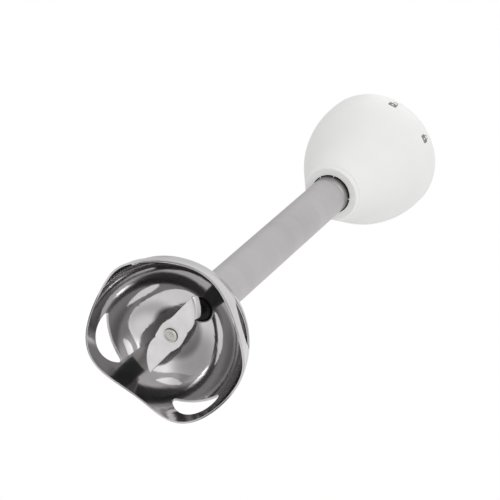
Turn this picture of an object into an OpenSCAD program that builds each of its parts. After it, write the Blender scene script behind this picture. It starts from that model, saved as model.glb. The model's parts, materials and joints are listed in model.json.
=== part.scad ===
// Blending foot of an immersion blender: a steel bell and tube, a twist-lock
// coupling at the top, and a blade on a long drive shaft inside.
// Millimetres. +Z runs along the drive axis from the bell's rim to the
// coupling. The origin is on that axis, level with the rim's four lobes.

/* [Bell] */
// Outer radius of the rim at the four lobes
bell_rim_r = 34.5; // [32:0.5:38]
// Angle of the flared wall from the axis
bell_flare = 10; // [9:0.5:11]
// Height of the flared wall above the lobes
bell_wall_h = 6.2; // [5.8:0.1:6.6]
// Radius of the dome above the wall
bell_dome_r = 36.3; // [35.5:0.1:37.5]
// Thickness of the bell's sheet
bell_sheet = 0.8; // [0.6:0.1:1.2]
// Height of the rim's valleys above its lobes
rim_wave = 6.5; // [4:0.5:7]
// Fillet from the dome to the neck
neck_fillet = 2.5; // [1.5:0.5:4]
// Length of the neck that grips the tube
neck_grip = 3.5; // [2:0.5:6]

/* [Windows] */
// Height of a window's lowest point above the lobes
window_z = 5.6; // [4.6:0.1:6.4]
// Height of a window
window_h = 7.7; // [6:0.1:8.5]
// Width of a window along its straight top edge
window_w = 22; // [18:0.2:24]

/* [Tube] */
// Outer radius of the tube
tube_r = 8.5; // [8.2:0.1:9.2]
// Wall of the tube
tube_wall = 0.6; // [0.4:0.1:0.8]
// Length of tube that shows between the neck and the collar
tube_exposed = 129.9; // [90:0.1:160]
// Width of the flange rolled out at the tube's top
tube_flange = 2.5; // [2:0.1:2.6]

/* [Coupling] */
// Radius of the collar round the tube
collar_r = 12; // [11.4:0.1:12.6]
// Height of the collar's straight part
collar_h = 1; // [0.6:0.1:2]
// Fillet between the collar and the coupling's cone
collar_fillet = 1.2; // [0.8:0.1:1.6]
// Largest outer radius of the coupling
coupling_r = 29.3; // [28.5:0.1:32]
// Height of the coupling
coupling_h = 54.6; // [52:0.2:60]
// Angle of the coupling's cone from the axis
coupling_cone = 25; // [23:0.5:26]
// Radius of the arc from the cone to the upright lip
coupling_arc_r = 64; // [60:1:68]
// Height of the upright lip
coupling_lip = 3.6; // [2:0.2:5]
// Wall of the coupling's shell
coupling_wall = 2.2; // [1.6:0.1:2.6]
// Wall of the sleeve that holds the tube
sleeve_wall = 2.9; // [2.6:0.1:3.2]
// Thickness of the ribs between the sleeve and the shell
rib_t = 1.6; // [1.2:0.1:2.4]

/* [Motor socket] */
// Gap between the socket's wall and the coupling's shell at the rim
socket_gap = 4.9; // [4.7:0.1:6]
// Wall of the socket
socket_wall = 2.2; // [1.8:0.1:2.3]
// Thickness of the socket's floor
socket_floor = 2; // [1.6:0.1:3]
// Depth of the socket from its mouth to its floor
socket_depth = 23.4; // [22:0.2:24]
// Gap between the socket's floor and the clamp screws' heads under it
floor_gap = 2.2; // [1:0.1:4]
// Distance of the socket's mouth below the coupling's rim
socket_recess = 1.2; // [0.6:0.1:2]
// Thickness of the flange that closes the gap to the shell
socket_flange = 2; // [1.2:0.1:3]
// Depth of the land at the socket's mouth that centres the motor unit's nose
land_depth = 5.2; // [3:0.1:5.2]
// Step from the land in to the socket's bore
land_step = 0.4; // [0.2:0.1:0.6]
// Number of bayonet slots
bayonet_count = 2; // [2:1:3]
// Depth of a bayonet slot into the wall
bayonet_depth = 1.4; // [1:0.1:1.5]
// Angle of a bayonet slot's entry
bayonet_entry = 12; // [10:1:16]
// Angle of a bayonet slot's locking run, with its entry
bayonet_run = 42; // [30:1:44]
// Height of a bayonet slot's locking run
bayonet_run_h = 4; // [3:0.2:5]
// Depth of the locking run's top below the socket's mouth
bayonet_run_depth = 14; // [10:0.5:15]

/* [Drive] */
// Radius of the drive shaft
shaft_r = 3; // [2.6:0.1:3.2]
// Radius of the shaft's spigot through the hub and the blade
spigot_r = 1.9; // [1.8:0.1:2]
// Outer radius of the bearing bushes
bush_r = 5; // [4.6:0.1:5.2]
// Length of the bearing bushes
bush_len = 12; // [10:0.5:14]
// Radius of the upper bush's flange
bush_flange_r = 6.4; // [6:0.1:6.8]
// Thickness of the upper bush's flange
bush_flange_t = 1; // [0.8:0.1:1.2]
// Outer radius of the thrust washers
washer_r = 5; // [4.6:0.1:5.2]
// Thickness of the thrust washers
washer_t = 0.8; // [0.5:0.1:1]
// Outer radius of the retaining clips
clip_r = 4.9; // [4.5:0.1:5.1]
// Thickness of the retaining clips
clip_t = 0.8; // [0.6:0.1:1]
// Depth of the clips' grooves in the shaft
clip_groove = 0.6; // [0.4:0.1:0.7]
// Height of the drive coupler's lower hub
coupler_hub_h = 9.2; // [8:0.2:10]
// Radius of the drive coupler's lower hub
coupler_hub_r = 6.5; // [6:0.1:7]
// Radius of the drive coupler's cup
coupler_cup_r = 8; // [7.4:0.1:8.4]
// Depth of the drive coupler's socket
coupler_depth = 10.5; // [8:0.5:11]
// Radius of the drive coupler's socket
coupler_socket_r = 4; // [3.6:0.1:4.4]
// Width of the drive coupler's four dog slots
dog_w = 1.2; // [1:0.1:1.3]
// Reach of the dog slots from the axis
dog_r = 5.6; // [5.2:0.1:6]
// Radius of the coupler's cross pin
pin_r = 1; // [0.8:0.1:1.1]

/* [Seal] */
// Radius of the seal's face in the bell's eye
seal_face_r = 4.4; // [4.2:0.1:4.6]
// How far the seal's face stands below the bell's inside
seal_proud = 0.3; // [0.1:0.1:0.6]
// Radius of the seal's body inside the cup
seal_r = 5.6; // [5.3:0.1:5.8]
// Length of the seal's body
seal_len = 4; // [3.4:0.1:4.6]
// Plate thickness of the seal cup
cup_plate = 0.8; // [0.6:0.1:1]
// Section radius of the seal's garter spring
seal_spring_r = 0.45; // [0.35:0.05:0.5]
// Section radius of the O-rings round the lower carrier
o_ring_r = 0.8; // [0.7:0.05:0.9]
// Number of O-rings round the lower carrier
o_ring_count = 2; // [1:1:3]
// Width of the gasket round the tube at the collar
gasket_w = 0.55; // [0.4:0.05:0.8]
// Height of the gasket
gasket_h = 1.9; // [1.4:0.1:2.4]
// Depth of the gasket behind the collar's face
gasket_recess = 0.3; // [0.1:0.1:0.6]

/* [Blade] */
// Height of the blade's underside above the lobes
blade_z = 8; // [7.6:0.1:9]
// Thickness of the blade
blade_t = 1.4; // [1:0.1:1.8]
// Reach of each wing's tip from the axis
blade_reach = 20.6; // [17:0.2:22]
// Radius of the blade round the rivet
blade_hub_r = 5.5; // [5.2:0.1:5.8]
// Radius of the arc across a wing's end
wing_end_r = 15; // [13:0.5:18]
// Direction of the flat wing round the drive axis
blade_turn = 136.6; // [100:1:170]
// Height of the turned-up edge at the end of one wing
blade_lip_h = 1.3; // [1:0.1:2]
// Angle of the turned-up edge from the blade's plane
blade_lip_angle = 70; // [60:1:78]
// Radius of the hub above the blade
hub_r = 2.6; // [2.5:0.1:3.4]
// Length of the hub above the blade
hub_len = 5; // [4:0.5:8]
// Outer radius of the spacer on the shaft between the hub and the seal
spacer_r = 2.4; // [2.3:0.1:3]
// Gap between the spacer and the seal's face
spacer_gap = 0.4; // [0.2:0.1:1]
// Radius of the rivet's head
rivet_r = 2.85; // [2.6:0.05:3.2]
// Height of the rivet's head
rivet_h = 0.8; // [0.6:0.1:1]
// Radius of the rivet's shank
rivet_shank_r = 1.2; // [1:0.1:1.3]
// Length of the rivet's shank
rivet_shank_len = 8; // [6:0.5:10]

/* [Screws] */
// Radius of the screws' shanks
screw_r = 1.25; // [1:0.05:1.4]
// Radius of the screws' heads
screw_head_r = 2.5; // [2.2:0.1:2.6]
// Height of the screws' heads
screw_head_h = 1.8; // [1.4:0.1:2.2]
// Length of the screws' shanks
screw_len = 9; // [7:0.5:10]
// Gap between the clamp's ring and its screws' heads
clamp_screw_gap = 0.15; // [0.1:0.05:0.4]
// Gap between the socket's wall and its screws' heads
socket_screw_gap = 0.3; // [0.1:0.1:1]
// Radius of the screw bosses
boss_r = 3; // [2.8:0.1:3.1]

/* [Fits] */
// Radial running clearance of the shaft in its bushes and seal
run_fit = 0.03; // [0.02:0.01:0.06]
// Radial clearance of parts that are pressed, glued or welded together
press_fit = 0.02; // [0.01:0.01:0.04]
// Radial clearance of parts that slide into place by hand
slip_fit = 0.05; // [0.03:0.01:0.1]
// Radial clearance of screws in the holes that they pass through
hole_fit = 0.2; // [0.1:0.05:0.4]
// Axial play between turning and standing parts
end_play = 0.1; // [0.05:0.01:0.2]

/* [Hidden] */
round_fn = 96;
arc_steps = 20;
over = 1;
lobes = 4;
screw_count = 3;

// A point on a circle round c, and an arc of such points.
function on_circle(c, r, a) = [c[0] + r * cos(a), c[1] + r * sin(a)];
function arc(c, r, a0, a1, n) = [for (i = [0:n]) on_circle(c, r, a0 + (a1 - a0) * i / n)];

// Bell: centre of the dome's arc and of the neck's fillet, and the direction and
// height of the dome, moved in by inset, at a distance r from the axis.
neck_r = tube_r + press_fit + bell_sheet;
neck_in_r = tube_r + press_fit;
bell_wall_r = bell_rim_r - bell_wall_h * tan(bell_flare);
dome_c = [bell_wall_r - bell_dome_r * cos(bell_flare), bell_wall_h - bell_dome_r * sin(bell_flare)];
function dome_a(r, inset) = acos((r - dome_c[0]) / (bell_dome_r - inset));
function dome_z(r, inset) = dome_c[1] + (bell_dome_r - inset) * sin(dome_a(r, inset));
neck_a = acos((neck_r + neck_fillet - dome_c[0]) / (bell_dome_r + neck_fillet));
neck_c = on_circle(dome_c, bell_dome_r + neck_fillet, neck_a);
neck_top = neck_c[1] + neck_grip;

// Rim: a wave with one crest for each lobe, seen square on from the side.
wave_steps = 12;
wave_r = bell_rim_r - rim_wave / 2 * tan(bell_flare);
wave_half = wave_r * sin(180 / lobes);
function wave_z(a) = rim_wave * (1 - cos(lobes * a)) / 2;
function wave_line() = [for (i = [-wave_steps:wave_steps])
    let (a = i * 180 / lobes / wave_steps) [wave_r * sin(a), wave_z(a)]];

// Heights of the coupling, with the tube's seat as far under the socket's floor
// as the clamp's ears and screws need.
clamp_ear_t = 3.4;
collar_z = neck_top + tube_exposed;
rim_z = collar_z + coupling_h;
mouth_z = rim_z - socket_recess;
floor_z = mouth_z - socket_depth;
floor_under_z = floor_z - socket_floor;
seat_z = floor_under_z - floor_gap - screw_head_h - clamp_ear_t;

// Coupling: arc of the outside, the cone from the collar's fillet up to the arc,
// and the cone moved in by inset.
arc_c = [coupling_r - coupling_arc_r, rim_z - coupling_lip];
cone_top = on_circle(arc_c, coupling_arc_r, -coupling_cone);
cone_low = [collar_r + collar_fillet, collar_z + collar_h + collar_fillet];
cone_slope = (cone_top[0] - cone_low[0]) / (cone_top[1] - cone_low[1]);
function cone_r(z, inset) = cone_low[0] + (z - cone_low[1]) * cone_slope
    - inset * sqrt(1 + cone_slope * cone_slope);
sleeve_r = tube_r + slip_fit + sleeve_wall;
gasket_r = tube_r + slip_fit + gasket_w;
coupling_foot = 5;
cavity_z = collar_z + coupling_foot;
rib_drop = 3;

// Bearings, from the tube's foot on the dome upwards and from the tube's top.
bore_r = tube_r - tube_wall;
carrier_r = bore_r - slip_fit;
tube_foot_z = dome_z(bore_r, 0) + press_fit;
eye_r = seal_face_r + slip_fit;
seal_face_z = dome_z(eye_r, bell_sheet) - seal_proud;
seal_head = 0.5;
cup_z = dome_z(eye_r, 0) + press_fit;
cup_floor = cup_z + cup_plate;
cup_top = cup_floor + seal_len + seal_head;
cup_inner_r = seal_r + press_fit;
low_carrier_z = cup_top + slip_fit;
clip_room = 1.7;
low_recess_h = clip_room + clip_t + end_play + washer_t;
low_bush_z = low_carrier_z + low_recess_h;
low_washer_z = low_bush_z - washer_t;
low_clip_z = low_washer_z - end_play - clip_t;
carrier_head = 2;
low_carrier_top = low_bush_z + bush_len + carrier_head;
flange_t = tube_wall;
carrier_flange_z = seat_z + flange_t;
carrier_flange_t = 1.8;
carrier_flange_r = tube_r + tube_flange;
carrier_foot = 8;
up_bush_top = carrier_flange_z + carrier_flange_t;
up_bush_z = up_bush_top - bush_len;
up_washer_z = up_bush_top + bush_flange_t;
up_clip_z = up_washer_z + washer_t + end_play;
through_play = 0.7;
through_r = shaft_r + through_play;
bush_bore_r = shaft_r + run_fit;

// Clamp over the flanges.
clamp_plate = 2;
clamp_top = up_bush_top + clamp_plate;
clamp_wall = 1.5;
clamp_play = 0.15;
clamp_in_r = carrier_flange_r + clamp_play;
clamp_out_r = clamp_in_r + clamp_wall;
clamp_screw_pitch = clamp_out_r + clamp_screw_gap + screw_head_r;
clamp_ear_r = 3.5;
clamp_eye_r = bush_flange_r + through_play;

// Motor socket, inside the coupling's shell.
socket_r = coupling_r - coupling_wall - socket_gap - socket_wall;
socket_screw_pitch = socket_r - socket_screw_gap - screw_head_r;
floor_play = 1.5;

// Shaft and drive coupler.
blade_top = blade_z + blade_t;
hub_top = blade_top + hub_len;
shoulder_z = seal_face_z - spacer_gap;
coupler_lift = 1;
coupler_z = up_clip_z + clip_t + coupler_lift;
shaft_top = coupler_z + coupler_hub_h;
coupler_web = 1.5;
coupler_floor = shaft_top + coupler_web;
coupler_top = coupler_floor + coupler_depth;
pin_z = coupler_z + coupler_hub_h / 2;
pin_recess = 0.2;
rivet_edge = 0.3;
chamfer = 0.5;

// Blade outline, for a wing along +X: a nearly straight edge below, a fuller
// back above, and a long arc from the tip round to the back.
wing_shoulder = [4.2, -4.6];
wing_root = [6.7, -3.5];
wing_tip_y = -1;
wing_tip_a = 34.5;
wing_waist = [5, 5.1];
wing_end_c = [blade_reach - wing_end_r * cos(wing_tip_a), wing_tip_y - wing_end_r * sin(wing_tip_a)];
blade_lip_a = 72;

// One ring of rectangular section.
module ring(r_out, r_in, z, h) {
    translate([0, 0, z])
        difference() {
            cylinder(r = r_out, h = h, $fn = round_fn);
            translate([0, 0, -over])
                cylinder(r = r_in, h = h + 2 * over, $fn = round_fn);
        }
}

// One ring of round section.
module torus(r, section_r, z) {
    translate([0, 0, z])
        rotate_extrude($fn = round_fn)
            translate([r, 0])
                circle(r = section_r, $fn = 32);
}

// A copy at each of n places round the axis, the first at angle first.
module around(n, first = 0) {
    for (i = [0:n - 1])
        rotate([0, 0, first + i * 360 / n])
            children();
}

// ---- Bell ----

// Half section of the bell: up the outside to the neck round the tube, in under
// the tube to the eye, and down the inside.
function bell_line() = concat(
    [[bell_rim_r + over * tan(bell_flare), -over]],
    arc(dome_c, bell_dome_r, bell_flare, neck_a, arc_steps),
    arc(neck_c, neck_fillet, 180 + neck_a, 180, 8),
    [[neck_r, neck_top], [neck_in_r, neck_top]],
    arc(dome_c, bell_dome_r, dome_a(neck_in_r, 0), dome_a(eye_r, 0), 4),
    arc(dome_c, bell_dome_r - bell_sheet, dome_a(eye_r, bell_sheet), bell_flare, arc_steps),
    [[bell_rim_r - bell_sheet / cos(bell_flare) + over * tan(bell_flare), -over]]
);

// Side view of what is cut away under one lobe and half the valleys beside it.
module wave_side() {
    polygon(concat(
        [[-wave_half - over, -2 * over], [-wave_half - over, rim_wave]],
        wave_line(),
        [[wave_half + over, rim_wave], [wave_half + over, -2 * over]]
    ));
}

// Side view of one window: a circle's lower part under a straight edge.
module window_side() {
    r = (window_w * window_w / 4 + window_h * window_h) / (2 * window_h);
    intersection() {
        translate([0, window_z + r])
            circle(r = r, $fn = round_fn);
        translate([-window_w, window_z - over])
            square([2 * window_w, window_h + over]);
    }
}

// Carries a side view out along +X as a cutter.
module side_cutter(from_r) {
    translate([from_r, 0, 0])
        rotate([90, 0, 90])
            linear_extrude(height = 2 * bell_rim_r)
                children();
}

module bell() {
    color("silver")
        difference() {
            rotate_extrude($fn = round_fn)
                polygon(bell_line());
            around(lobes)
                intersection() {
                    side_cutter(0) wave_side();
                    rotate([0, 0, -45])
                        translate([0, 0, -2 * over])
                            cube([2 * bell_rim_r, 2 * bell_rim_r, rim_wave + 4 * over]);
                }
            around(lobes)
                side_cutter(bell_rim_r / 2) window_side();
        }
}

// ---- Tube ----

module shaft_tube() {
    color("lightgray")
        union() {
            ring(tube_r, bore_r, tube_foot_z, seat_z + flange_t - tube_foot_z);
            ring(carrier_flange_r, bore_r, seat_z, flange_t);
        }
}

// ---- Coupling ----

// Half section of the coupling's solid outside.
function coupling_line() = concat(
    [[0, collar_z], [collar_r, collar_z], [collar_r, collar_z + collar_h]],
    arc([collar_r + collar_fillet, collar_z + collar_h], collar_fillet, 180, 90, 6),
    arc(arc_c, coupling_arc_r, -coupling_cone, 0, arc_steps),
    [[coupling_r, rim_z - chamfer], [coupling_r - chamfer, rim_z], [0, rim_z]]
);

// Half section of the shell's inside above the height z, at a distance inset from the outside.
function shell_line(z, inset) = concat(
    [[cone_r(z, inset), z]],
    arc(arc_c, coupling_arc_r - inset, -coupling_cone, 0, arc_steps),
    [[coupling_r - inset, rim_z + over], [0, rim_z + over]]
);

module boss(pitch, top) {
    translate([pitch, 0, collar_z])
        cylinder(r = boss_r, h = top - collar_z, $fn = 48);
}

module screw_hole(pitch, top) {
    translate([pitch, 0, top - screw_len])
        cylinder(r = screw_r + press_fit, h = screw_len + over, $fn = 32);
}

module rib() {
    rib_top = seat_z - rib_drop;
    translate([sleeve_r - sleeve_wall / 2, -rib_t / 2, collar_z])
        cube([coupling_r, rib_t, rib_top - collar_z]);
}

module coupling_housing() {
    color("whitesmoke")
        difference() {
            intersection() {
                rotate_extrude($fn = round_fn)
                    polygon(coupling_line());
                union() {
                    difference() {
                        translate([0, 0, collar_z - over])
                            cylinder(r = coupling_r + over, h = coupling_h + 2 * over, $fn = round_fn);
                        rotate_extrude($fn = round_fn)
                            polygon(concat(
                                shell_line(cavity_z, coupling_wall),
                                [[0, seat_z], [sleeve_r, seat_z], [sleeve_r, cavity_z]]
                            ));
                    }
                    around(screw_count)
                        boss(clamp_screw_pitch, seat_z);
                    around(screw_count, 60)
                        boss(socket_screw_pitch, floor_under_z);
                    around(2 * screw_count, 30)
                        rib();
                }
            }
            translate([0, 0, collar_z - over])
                cylinder(r = tube_r + slip_fit, h = coupling_h, $fn = round_fn);
            translate([0, 0, collar_z - over])
                cylinder(r = gasket_r, h = gasket_h + gasket_recess + over, $fn = round_fn);
            translate([0, 0, seat_z])
                cylinder(r = clamp_out_r + clamp_play, h = coupling_h, $fn = round_fn);
            around(screw_count)
                screw_hole(clamp_screw_pitch, seat_z);
            around(screw_count, 60)
                screw_hole(socket_screw_pitch, floor_under_z);
        }
}

// One L-shaped slot: an entry from the mouth and a run to one side of it.
module bayonet_slot() {
    slot_r = socket_r + bayonet_depth;
    run_top = mouth_z - bayonet_run_depth;
    rotate_extrude(angle = bayonet_entry, $fn = round_fn)
        translate([socket_r - over, run_top - bayonet_run_h])
            square([slot_r - socket_r + over, mouth_z + over - run_top + bayonet_run_h]);
    rotate_extrude(angle = bayonet_run, $fn = round_fn)
        translate([socket_r - over, run_top - bayonet_run_h])
            square([slot_r - socket_r + over, bayonet_run_h]);
}

module bayonet_socket() {
    wall_r = socket_r + socket_wall;
    land_r = socket_r + land_step;
    flange_r = coupling_r - coupling_wall - slip_fit;
    color("gainsboro")
        difference() {
            union() {
                translate([0, 0, floor_under_z])
                    cylinder(r = wall_r, h = mouth_z - floor_under_z, $fn = round_fn);
                translate([0, 0, mouth_z - socket_flange])
                    cylinder(r = flange_r, h = socket_flange, $fn = round_fn);
            }
            translate([0, 0, floor_z])
                cylinder(r = socket_r, h = socket_depth + over, $fn = round_fn);
            translate([0, 0, mouth_z - land_depth])
                cylinder(r = land_r, h = land_depth + over, $fn = round_fn);
            translate([0, 0, mouth_z - chamfer])
                cylinder(r1 = land_r, r2 = land_r + chamfer + over, h = chamfer + over, $fn = round_fn);
            translate([0, 0, floor_under_z - over])
                cylinder(r = coupler_cup_r + floor_play, h = socket_floor + 2 * over, $fn = round_fn);
            around(bayonet_count)
                bayonet_slot();
            around(screw_count, 60)
                translate([socket_screw_pitch, 0, floor_under_z - over])
                    cylinder(r = screw_r + hole_fit, h = socket_floor + 2 * over, $fn = 32);
        }
}

module collar_gasket() {
    color("black")
        ring(gasket_r - press_fit, tube_r + press_fit, collar_z + gasket_recess, gasket_h);
}

// An ear for one screw, kept inside the shell.
module clamp_ear() {
    intersection() {
        union() {
            translate([clamp_screw_pitch, 0, seat_z])
                cylinder(r = clamp_ear_r, h = clamp_ear_t, $fn = 48);
            translate([clamp_in_r, -clamp_ear_r, seat_z])
                cube([clamp_screw_pitch - clamp_in_r, 2 * clamp_ear_r, clamp_ear_t]);
        }
        rotate_extrude($fn = round_fn)
            polygon(concat(shell_line(cavity_z, coupling_wall + clamp_play), [[0, cavity_z]]));
    }
}

module tube_clamp() {
    color("dimgray")
        difference() {
            union() {
                translate([0, 0, seat_z])
                    cylinder(r = clamp_out_r, h = clamp_top - seat_z, $fn = round_fn);
                around(screw_count)
                    clamp_ear();
            }
            translate([0, 0, seat_z - over])
                cylinder(r = clamp_in_r, h = up_bush_top - seat_z + over, $fn = round_fn);
            translate([0, 0, seat_z])
                cylinder(r = clamp_eye_r, h = clamp_top - seat_z + over, $fn = round_fn);
            around(screw_count)
                translate([clamp_screw_pitch, 0, seat_z - over])
                    cylinder(r = screw_r + hole_fit, h = clamp_ear_t + 2 * over, $fn = 32);
        }
}

// A screw standing on z = 0 with its shank below and a cross slot in its head.
module screw(shank) {
    slot_w = 0.6;
    difference() {
        union() {
            translate([0, 0, -shank])
                cylinder(r = screw_r, h = shank + screw_head_h / 2, $fn = 32);
            cylinder(r = screw_head_r, h = screw_head_h, $fn = 32);
        }
        for (turn = [0, 90])
            rotate([0, 0, turn])
                translate([-screw_r, -slot_w / 2, screw_head_h / 2])
                    cube([2 * screw_r, slot_w, screw_head_h]);
    }
}

module clamp_screws() {
    color("gray")
        around(screw_count)
            translate([clamp_screw_pitch, 0, seat_z + clamp_ear_t])
                screw(screw_len);
}

module socket_screws() {
    color("gray")
        around(screw_count, 60)
            translate([socket_screw_pitch, 0, floor_z])
                screw(screw_len);
}

// ---- Bearings ----

module upper_bearing_carrier() {
    foot_z = up_bush_z - carrier_foot;
    color("ivory")
        difference() {
            union() {
                translate([0, 0, foot_z])
                    cylinder(r = carrier_r, h = up_bush_top - foot_z, $fn = round_fn);
                translate([0, 0, carrier_flange_z])
                    cylinder(r = carrier_flange_r, h = carrier_flange_t, $fn = round_fn);
            }
            translate([0, 0, up_bush_z])
                cylinder(r = bush_r + press_fit, h = bush_len + over, $fn = round_fn);
            translate([0, 0, foot_z - over])
                cylinder(r = through_r, h = carrier_foot + 2 * over, $fn = round_fn);
            translate([0, 0, foot_z - over])
                cylinder(r = bush_r, h = carrier_foot - carrier_head + over, $fn = round_fn);
        }
}

module upper_bush() {
    color("peru")
        union() {
            ring(bush_r, bush_bore_r, up_bush_z, bush_len + bush_flange_t);
            ring(bush_flange_r, bush_bore_r, up_bush_top, bush_flange_t);
        }
}

module upper_washer() {
    color("lightgray")
        ring(washer_r, shaft_r + slip_fit, up_washer_z, washer_t);
}

// A retaining clip: a ring in the shaft's groove with a gap at one side.
module clip(z) {
    inner = shaft_r - clip_groove + press_fit;
    difference() {
        ring(clip_r, inner, z, clip_t);
        translate([0, -inner * 0.7, z - over])
            cube([clip_r + over, inner * 1.4, clip_t + 2 * over]);
    }
}

module upper_clip() {
    color("gray")
        clip(up_clip_z);
}

module lower_bearing_carrier() {
    color("ivory")
        difference() {
            translate([0, 0, low_carrier_z])
                cylinder(r = carrier_r, h = low_carrier_top - low_carrier_z, $fn = round_fn);
            translate([0, 0, low_carrier_z - over])
                cylinder(r = washer_r + hole_fit, h = low_recess_h + over, $fn = round_fn);
            translate([0, 0, low_carrier_z])
                cylinder(r = bush_r + press_fit, h = low_recess_h + bush_len, $fn = round_fn);
            translate([0, 0, low_carrier_z])
                cylinder(r = through_r, h = low_carrier_top - low_carrier_z + over, $fn = round_fn);
            for (i = [0:o_ring_count - 1])
                ring(carrier_r + over, o_ring_seat_r, o_ring_z(i) - o_ring_half, 2 * o_ring_half);
        }
}

// O-rings: the ring just reaches the tube's bore, the groove's floor is behind it.
o_ring_mid_r = bore_r - press_fit - o_ring_r;
o_ring_seat_r = o_ring_mid_r - o_ring_r - press_fit;
o_ring_half = o_ring_r + slip_fit;
function o_ring_z(i) = low_bush_z + bush_len * (i + 1) / (o_ring_count + 1);

module carrier_o_rings() {
    color("black")
        for (i = [0:o_ring_count - 1])
            torus(o_ring_mid_r, o_ring_r, o_ring_z(i));
}

module lower_bush() {
    color("peru")
        ring(bush_r, bush_bore_r, low_bush_z, bush_len);
}

module lower_washer() {
    color("lightgray")
        ring(washer_r, shaft_r + slip_fit, low_washer_z, washer_t);
}

module lower_clip() {
    color("gray")
        clip(low_clip_z);
}

// ---- Seal ----

seal_spring_z = cup_floor + seal_len / 2;
spring_skin = 0.1;
seal_spring_mid_r = seal_r - seal_spring_r - spring_skin;

module seal_cup() {
    color("silver")
        difference() {
            translate([0, 0, cup_z])
                cylinder(r = carrier_r, h = cup_top - cup_z, $fn = round_fn);
            translate([0, 0, cup_floor])
                cylinder(r = cup_inner_r, h = cup_top, $fn = round_fn);
            translate([0, 0, cup_z - over])
                cylinder(r = eye_r, h = cup_plate + 2 * over, $fn = round_fn);
        }
}

module shaft_seal() {
    color("black")
        difference() {
            union() {
                translate([0, 0, seal_face_z])
                    cylinder(r = seal_face_r, h = cup_floor - seal_face_z + over, $fn = round_fn);
                translate([0, 0, cup_floor])
                    cylinder(r = seal_r, h = seal_len, $fn = round_fn);
            }
            translate([0, 0, seal_face_z - over])
                cylinder(r = bush_bore_r, h = cup_top - seal_face_z + over, $fn = round_fn);
            translate([0, 0, seal_spring_z])
                rotate_extrude($fn = round_fn)
                    translate([seal_spring_mid_r - seal_spring_r - press_fit, -seal_spring_r - press_fit])
                        square([seal_r, 2 * (seal_spring_r + press_fit)]);
        }
}

module seal_spring() {
    color("gray")
        torus(seal_spring_mid_r, seal_spring_r, seal_spring_z);
}

// ---- Drive ----

module drive_shaft() {
    color("lightsteelblue")
        difference() {
            union() {
                translate([0, 0, blade_z])
                    cylinder(r = spigot_r, h = shoulder_z - blade_z + over, $fn = round_fn);
                translate([0, 0, shoulder_z])
                    cylinder(r = shaft_r, h = shaft_top - shoulder_z, $fn = round_fn);
            }
            for (z = [low_clip_z, up_clip_z])
                ring(shaft_r + over, shaft_r - clip_groove, z - press_fit, clip_t + 2 * press_fit);
            translate([0, 0, blade_z - over])
                cylinder(r = rivet_shank_r + press_fit, h = rivet_shank_len + over, $fn = 48);
            cross_hole();
        }
}

// The hole for the cross pin through the shaft and the coupler.
module cross_hole() {
    translate([-coupler_cup_r, 0, pin_z])
        rotate([0, 90, 0])
            cylinder(r = pin_r + press_fit, h = 2 * coupler_cup_r, $fn = 48);
}

module drive_coupler() {
    color("dimgray")
        difference() {
            union() {
                translate([0, 0, coupler_z])
                    cylinder(r = coupler_hub_r, h = coupler_top - coupler_z, $fn = round_fn);
                translate([0, 0, shaft_top])
                    cylinder(r = coupler_cup_r, h = coupler_top - shaft_top, $fn = round_fn);
            }
            translate([0, 0, coupler_z - over])
                cylinder(r = shaft_r + press_fit, h = coupler_hub_h + over, $fn = round_fn);
            translate([0, 0, coupler_floor])
                cylinder(r = coupler_socket_r, h = coupler_depth + over, $fn = round_fn);
            for (turn = [0, 90])
                rotate([0, 0, turn])
                    translate([-dog_r, -dog_w / 2, coupler_floor])
                        cube([2 * dog_r, dog_w, coupler_depth + over]);
            cross_hole();
        }
}

module coupler_pin() {
    half = coupler_hub_r - pin_recess;
    color("silver")
        translate([-half, 0, pin_z])
            rotate([0, 90, 0])
                cylinder(r = pin_r, h = 2 * half, $fn = 48);
}

module shaft_spacer() {
    color("black")
        ring(spacer_r, spigot_r + press_fit, hub_top, shoulder_z - hub_top);
}

// ---- Blade ----

module wing_outline() {
    polygon(concat(
        [[0, -0.9 * blade_hub_r], wing_shoulder, wing_root],
        arc(wing_end_c, wing_end_r, wing_tip_a, 90, 12),
        [wing_waist, [0, wing_waist[1]]]
    ));
}

module blade_outline() {
    circle(r = blade_hub_r, $fn = round_fn);
    for (turn = [0, 180])
        rotate([0, 0, turn])
            wing_outline();
}

// The turned-up edge: a short band of a cone along the end arc of the wing on -X.
module blade_lip() {
    lean = (blade_lip_h + blade_t / 2) / tan(blade_lip_angle);
    foot = wing_end_r - lean / 3;
    width = blade_t / sin(blade_lip_angle);
    rotate([0, 0, 180])
        translate([wing_end_c[0], wing_end_c[1], 0])
            rotate([0, 0, wing_tip_a])
                rotate_extrude(angle = blade_lip_a - wing_tip_a, $fn = round_fn)
                    polygon([
                        [foot - width, blade_t / 2],
                        [foot, blade_t / 2],
                        [foot + lean, blade_t + blade_lip_h],
                        [foot + lean - width, blade_t + blade_lip_h]
                    ]);
}

module blade() {
    color("lightgray")
        rotate([0, 0, blade_turn])
            translate([0, 0, blade_z])
                difference() {
                    union() {
                        linear_extrude(height = blade_t)
                            blade_outline();
                        blade_lip();
                    }
                    translate([0, 0, -over])
                        cylinder(r = spigot_r + press_fit, h = blade_t + 2 * over, $fn = 48);
                }
}

module blade_hub() {
    color("silver")
        ring(hub_r, spigot_r + press_fit, blade_top, hub_len);
}

module blade_rivet() {
    color("darkgray")
        union() {
            translate([0, 0, blade_z - rivet_h])
                cylinder(r1 = rivet_r - rivet_edge, r2 = rivet_r, h = rivet_edge, $fn = 64);
            translate([0, 0, blade_z - rivet_h + rivet_edge])
                cylinder(r = rivet_r, h = rivet_h - rivet_edge, $fn = 64);
            translate([0, 0, blade_z - rivet_h / 2])
                cylinder(r = rivet_shank_r, h = rivet_shank_len - slip_fit + rivet_h / 2, $fn = 48);
        }
}

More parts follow.
